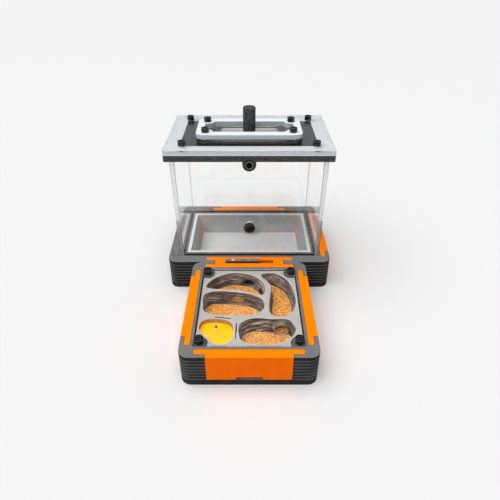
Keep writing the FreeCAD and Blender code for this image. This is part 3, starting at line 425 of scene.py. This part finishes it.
block_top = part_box("nest_insert")[1][2]
level_streak = (40 * MM, 40 * MM, 2.4 * MM)
hatch_streak = (40 * MM, 40 * MM, 2.5 * MM)
upright_streak = (1.0 * MM, 1.0 * MM, 30 * MM)
clear_hatch = clear_plastic("clear_low", "Z", frost=0.04, streak=hatch_streak, faintest=0.8)
clear_side = clear_plastic("clear_side", "X", frost=0.4, streak=upright_streak)
clear_front = clear_plastic("clear_front", "Y", frost=0.4, streak=upright_streak)
# Each plastic's top and side colours are its lit and shaded copies, and its groove colour is painted shade
looks = {
    "grey_plastic": printed_plastic("grey_print", top=(rgb(106, 106, 107), rgb(126, 126, 127)),
                                    side=(rgb(34, 34, 35), rgb(56, 56, 57)), groove_shade=rgb(8, 8, 8)),
    "orange_plastic": printed_plastic("orange_print", top=(rgb(252, 126, 0), rgb(255, 136, 0)),
                                      side=(rgb(252, 103, 0), rgb(255, 117, 0)), groove_shade=rgb(190, 34, 0)),
    "pale_plastic": basin("basin_plastic"),
    "insert_plastic": nest_block("nest_block", block_top),
    "clear_acrylic": clear_plastic("clear_flat", "Z", frost=0.06, streak=level_streak, faintest=0.6),
    "white_acrylic": white_sheet("white_sheet"),
    "black_seal": rubber("black_seal", rgb(24, 24, 24), rough=0.7),
    "black_rubber": rubber("black_rubber", rgb(12, 12, 12), rough=0.25),
    "dark_plastic": fuzzy_plastic("fuzzy_print"),
    "dark_mesh": plain_sheet("dark_mesh", rgb(12, 12, 13), rgb(24, 24, 25), rough=0.7),
    "pale_gasket": plain_sheet("pale_tape", rgb(222, 223, 224), rgb(232, 233, 234), rough=0.8),
    "black_steel": black_steel("black_steel"),
    "brass": brass("brass"),
    "sand": sand("sand"),
    "sponge": moisture_pad("moisture_pad"),
    "membrane": plain_sheet("membrane", rgb(44, 40, 37), rgb(66, 61, 57), rough=0.9),
}
for part in frame["record"]["subparts"]:
    mesh = nodes[part["node"]].data
    mesh.materials.clear()
    mesh.materials.append(looks[part["material_slot"]])

# The walls are flat across another axis than the lid, and the hatch's clear pieces are frosted less
own_looks = {
    "wall_left": clear_side,
    "wall_right": clear_side,
    "wall_front": clear_front,
    "wall_back": clear_front,
    "hatch_spacer": clear_hatch,
    "hatch_door": clear_hatch,
}
for name, look in own_looks.items():
    nodes[name].data.materials[0] = look


# Small helpers for building pieces
def put_in_scene(name, data):
    """A new object for a mesh, lamp or camera."""
    thing = bpy.data.objects.new(name, data)
    bpy.context.scene.collection.objects.link(thing)
    return thing


def new_piece(name, mesh, body, slot):
    """A visible piece that moves with a body and has the look of a slot."""
    piece = put_in_scene(name, mesh)
    mesh.materials.clear()
    mesh.materials.append(looks[slot])
    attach(piece, body)
    return piece


def mesh_of(name, points, faces):
    mesh = bpy.data.meshes.new(name)
    mesh.from_pydata(points, [], faces)
    return mesh


def prism(name, near, far):
    """A closed mesh between two outlines, both counter-clockwise seen from the far one."""
    count = len(near)
    faces = [tuple(reversed(range(count))), tuple(range(count, 2 * count))]
    for i in range(count):
        after = (i + 1) % count
        faces.append((i, after, count + after, count + i))
    return mesh_of(name, near + far, faces)


def rod(name, centre, radius, long, axis):
    """A plain rod along X or Y, with its middle at centre."""
    turn_about = {"X": "Y", "Y": "X"}
    upright_to_axis = Matrix.Rotation(math.radians(90), 4, turn_about[axis])
    mesh = bpy.data.meshes.new(name)
    build = bmesh.new()
    bmesh.ops.create_cone(build, cap_ends=True, segments=48, radius1=radius, radius2=radius, depth=long,
                          matrix=Matrix.Translation(centre) @ upright_to_axis)
    build.to_mesh(mesh)
    build.free()
    return put_in_scene(name, mesh)


def dense_copy(name, node_name, voxel, cutters=()):
    """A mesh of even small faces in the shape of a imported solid, less the cutters."""
    source = put_in_scene(name + "_source", nodes[node_name].data.copy())
    for cutter in cutters:
        carve = source.modifiers.new("carve", "BOOLEAN")
        carve.operation = "DIFFERENCE"
        carve.object = cutter
    remesh = source.modifiers.new("even", "REMESH")
    remesh.mode = "VOXEL"
    remesh.voxel_size = voxel
    remesh.use_smooth_shade = True
    ready = source.evaluated_get(bpy.context.evaluated_depsgraph_get())
    mesh = bpy.data.meshes.new_from_object(ready)
    for used in (source, *cutters):
        bpy.data.objects.remove(used)
    mesh.name = name
    return mesh


# Pieces that stand for plain solids, and fine detail
def worn_block():
    """The nest block with wavy beds cut back into the walls of its chambers, and wider tunnel mouths.

    Its outer sides, top edge, level faces, tunnel collar and water chamber stay plain.
    """
    outer_skin = 1.6 * MM
    top_edge = 0.5 * MM
    fade_tall = 1.2 * MM
    level_from = 0.8
    collar_radius = 6.5 * MM
    collar_back = -58.0 * MM
    deepest = 1.5 * MM
    bed_tall = 2.4 * MM
    bed_share = 0.75
    # Two noises shift the beds: how long each is, how it is squeezed upwards and how many beds it shifts
    wave_long, wave_squeeze, wave_beds = 11.0 * MM, 0.4, 2.4
    rough_long, rough_squeeze, rough_beds = 2.5 * MM, 2.0, 0.3

    back_at = Vector((0, -11.5 * MM, 13.0 * MM))
    side_at = Vector((9.9 * MM, -23.2 * MM, 14.2 * MM))
    back_mouth = rod("back_mouth", back_at, radius=5.9 * MM, long=9.0 * MM, axis="Y")
    side_mouth = rod("side_mouth", side_at, radius=3.4 * MM, long=4.6 * MM, axis="X")
    mesh = dense_copy("worn_nest_block", "nest_insert", 0.34 * MM, (back_mouth, side_mouth))
    low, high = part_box("nest_insert")
    before = [(vertex, vertex.co.copy(), vertex.normal.copy()) for vertex in mesh.vertices]
    for vertex, at, normal in before:
        inside = min(at.x - low[0], high[0] - at.x, at.y - low[1], high[1] - at.y)
        below_top = high[2] - at.z
        from_tunnel = (Vector((at.x, at.z)) - Vector(ROUND_TUNNEL)).length
        on_collar = from_tunnel < collar_radius and at.y < collar_back
        by_water = at.x < WATER_RIGHT and at.y < WATER_BACK
        level = abs(normal.z) > level_from
        if inside < outer_skin or below_top < top_edge or level or on_collar or by_water:
            continue
        wave = random_field.noise(Vector((at.x, at.y, at.z * wave_squeeze)) / wave_long)
        rough = random_field.noise(Vector((at.x, at.y, at.z * rough_squeeze)) / rough_long)
        turns = at.z / bed_tall + wave_beds * wave + rough_beds * rough
        bed = 0.5 + 0.5 * math.sin(2 * math.pi * turns)
        fade = min(1.0, (below_top - top_edge) / fade_tall)
        worn = bed_share * bed + (1 - bed_share) * (0.5 + 0.5 * rough)
        vertex.co = at - normal * deepest * fade * worn
    piece = new_piece("worn_nest_block", mesh, "modules", "insert_plastic")
    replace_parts(piece, "nest_insert")


def loose_sand(chamber):
    """A chamber's sand with a drifted surface."""
    drift_tall = 0.35 * MM
    drift_long = 8 * MM
    surface = 0.5 * MM
    name = f"loose_sand_{chamber}"
    mesh = dense_copy(name, f"sand_{chamber}", 0.4 * MM)
    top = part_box(f"sand_{chamber}")[1][2]
    for vertex in mesh.vertices:
        if vertex.co.z > top - surface:
            vertex.co.z += random_field.noise(vertex.co / drift_long) * drift_tall
    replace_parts(new_piece(name, mesh, "modules", "sand"), f"sand_{chamber}")


def passage_fill(name, slot, centre, radius, low, level, start, end, slant=0.0, rough=0.22 * MM):
    """What lies in a round passage along Y, up to a level; its ends follow a slanted wall."""
    across, along = 18, 26
    grain_size = 0.9 * MM
    thinnest = 0.3 * MM
    half = math.sqrt(radius ** 2 - (level - centre[1]) ** 2)
    points, faces = [], []
    for row in range(along + 1):
        y = start + (end - start) * row / along
        for step in range(across + 1):
            x = centre[0] - half + 2 * half * step / across
            grain = random_field.noise(Vector((x, y, level)) / grain_size) * rough
            points.append((x, y + slant * (x - centre[0]), level + grain))
        for step in range(across + 1):
            x = centre[0] + half - 2 * half * step / across
            round_low = centre[1] - math.sqrt(max(0.0, radius ** 2 - (x - centre[0]) ** 2))
            bottom = min(max(low, round_low), level - thinnest)
            points.append((x, y + slant * (x - centre[0]), bottom))
    ring = 2 * (across + 1)
    for row in range(along):
        here = row * ring
        there = here + ring
        for step in range(ring):
            after = (step + 1) % ring
            faces.append((here + step, here + after, there + after, there + step))
    faces.append(tuple(reversed(range(ring))))
    faces.append(tuple(along * ring + step for step in range(ring)))
    mesh = mesh_of(name, points, faces)
    mesh.validate()
    new_piece(name, mesh, "modules", slot)


def pad_beads():
    """Two small shiny domes on the pad."""
    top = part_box("water_pad")[1][2]
    squash = Matrix.Diagonal((1.0, 1.0, 0.6, 1.0))
    dome_look = glossy_dome("pad_dome")
    for name, x, y, radius in (("pad_bead_back", -23.3 * MM, -69.4 * MM, 0.9 * MM),
                               ("pad_bead_front", -21.7 * MM, -71.7 * MM, 1.15 * MM)):
        mesh = bpy.data.meshes.new(name)
        build = bmesh.new()
        on_pad = Matrix.Translation(Vector((x, y, top))) @ squash
        bmesh.ops.create_uvsphere(build, u_segments=24, v_segments=12, radius=radius, matrix=on_pad)
        build.to_mesh(mesh)
        build.free()
        mesh.shade_smooth()
        new_piece(name, mesh, "modules", "sponge")
        mesh.materials[0] = dome_look


def bar_outline(middle_x, middle_y, long, deep, corner):
    """The outline of a bar with rounded corners, each in steps of 30 degrees."""
    outline = []
    for side_x, side_y, start in ((1, 1, 0), (-1, 1, 90), (-1, -1, 180), (1, -1, 270)):
        corner_x = middle_x + side_x * (long / 2 - corner)
        corner_y = middle_y + side_y * (deep / 2 - corner)
        for turn in (0, 30, 60, 90):
            angle = math.radians(start + turn)
            outline.append((corner_x + corner * math.cos(angle), corner_y + corner * math.sin(angle)))
    return outline


def gate_marks():
    """Two short raised bars on the gate's grip, one white and one grey."""
    low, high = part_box("gate_slider")
    middle_y = (low[1] + high[1]) / 2
    bottom = high[2] - 0.1 * MM
    top = high[2] + 0.25 * MM
    for name, middle_x, paint in (("gate_mark_pale", -13.4 * MM, rgb(224, 225, 226)),
                                  ("gate_mark_grey", -0.7 * MM, rgb(150, 151, 152))):
        outline = bar_outline(middle_x, middle_y, long=2.6 * MM, deep=1.3 * MM, corner=0.4 * MM)
        mesh = prism(name, [(x, y, bottom) for x, y in outline], [(x, y, top) for x, y in outline])
        new_piece(name, mesh, "gate", "grey_plastic")
        mesh.materials[0] = plain_sheet(name, paint, paint, rough=0.6)


def round_port(radius, y, middle_z, turns):
    """A circle across the lid's port, at a place along Y."""
    angles = [2 * math.pi * i / turns for i in range(turns)]
    return [(radius * math.cos(angle), y, middle_z + radius * math.sin(angle)) for angle in angles]


def port_shade_disc():
    """A thin dark disc across the inner end of the port in the lid, put there as painted shade to keep the
    bore dark.
    """
    low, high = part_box("lid_port_grommet")
    radius, thick, turns = 2.15 * MM, 0.3 * MM, 32
    middle_z = (low[2] + high[2]) / 2
    back = high[1] - 0.4 * MM
    mesh = prism("port_shade_disc", round_port(radius, back, middle_z, turns),
                 round_port(radius, back - thick, middle_z, turns))
    new_piece("port_shade_disc", mesh, "lid", "black_rubber")


def port_ring():
    """The rounded lip of the rubber round the lid port's bore, pale grey as a painted highlight."""
    low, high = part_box("lid_port_grommet")
    radius, thick, turns, sides = 2.6 * MM, 0.28 * MM, 40, 10
    middle_z = (low[2] + high[2]) / 2
    points, faces = [], []
    for i in range(turns):
        turn = 2 * math.pi * i / turns
        here, there = i * sides, (i + 1) % turns * sides
        for k in range(sides):
            side = 2 * math.pi * k / sides
            out = radius + thick * math.cos(side)
            points.append((out * math.cos(turn), low[1] + thick * math.sin(side),
                           middle_z + out * math.sin(turn)))
            after = (k + 1) % sides
            faces.append((here + k, here + after, there + after, there + k))
    mesh = mesh_of("port_ring", points, faces)
    mesh.shade_smooth()
    new_piece("port_ring", mesh, "lid", "black_rubber")
    # Painted highlight: the pale grey stands for light caught on the lip
    mesh.materials[0] = rubber("highlight_rubber", rgb(96, 96, 97), rough=0.3)


gate_marks()
port_shade_disc()
port_ring()
pad_beads()
passage_fill("window_sill", "insert_plastic", WINDOW, WINDOW_RADIUS, low=WINDOW_FLOOR, level=SILL_TOP,
             start=WINDOW_FRONT, end=SILL_BACK, slant=WALL_SLANT, rough=0.0)
passage_fill("window_sand", "sand", WINDOW, WINDOW_RADIUS - 0.05 * MM, low=WINDOW_FLOOR,
             level=WINDOW_SAND_TOP, start=SILL_BACK, end=WINDOW_BACK, slant=WALL_SLANT)
passage_fill("tunnel_sand", "sand", ROUND_TUNNEL, TUNNEL_RADIUS, low=TUNNEL_FLOOR, level=TUNNEL_SAND_TOP,
             start=TUNNEL_FRONT, end=TUNNEL_BACK)
worn_block()
for chamber in ("back_left", "back_right", "middle", "front"):
    loose_sand(chamber)


# Floor, light and camera
def make_floor():
    """A pale floor that reaches far past the part on all sides."""
    reach = 3.0
    corners = [(-reach, -reach, 0), (reach, -reach, 0), (reach, reach, 0), (-reach, reach, 0)]
    mesh = mesh_of("floor", corners, [(0, 1, 2, 3)])
    floor = put_in_scene("floor", mesh)
    look = new_look("floor")
    shade(look, {"Base Color": (0.75, 0.75, 0.752, 1.0), "Roughness": 0.9})
    mesh.materials.append(look)


def make_light():
    """A wide soft light from overhead, a little from the front and the left, and a dim white sky."""
    world = bpy.data.worlds.new("studio")
    world.use_nodes = True
    sky = world.node_tree.nodes["Background"]
    sky.inputs["Color"].default_value = (1.0, 1.0, 1.0, 1.0)
    sky.inputs["Strength"].default_value = 0.32
    bpy.context.scene.world = world
    data = bpy.data.lights.new("overhead", "SUN")
    data.energy = 3.0
    data.angle = math.radians(72)
    from_front, from_left = math.radians(8), math.radians(15)
    lamp = put_in_scene("overhead", data)
    lamp.rotation_euler = (from_front, -from_left, 0)


def make_camera():
    """The camera of the photograph: a square frame of 500 by 500 pixels."""
    frame_px = 500
    focal_px = 418.4
    middle_px = (249.5, 249.0)
    looks_down = 35.02
    data = bpy.data.cameras.new("camera")
    data.sensor_width = 36.0
    data.lens = focal_px * data.sensor_width / frame_px
    data.shift_x = (frame_px / 2 - middle_px[0]) / frame_px
    data.shift_y = (middle_px[1] - frame_px / 2) / frame_px
    data.clip_start = 10 * MM
    camera = put_in_scene("camera", data)
    camera.location = (0.17 * MM, -273.0 * MM, 232.4 * MM)
    camera.rotation_euler = (math.radians(90 - looks_down), 0, 0)
    bpy.context.scene.camera = camera


make_floor()
make_light()
make_camera()

# Plain display colours, and enough bounces for light to pass all the clear sheets
scene = bpy.context.scene
scene.view_settings.view_transform = "Standard"
scene.cycles.max_bounces = 16
scene.cycles.transmission_bounces = 16
scene.cycles.transparent_max_bounces = 24
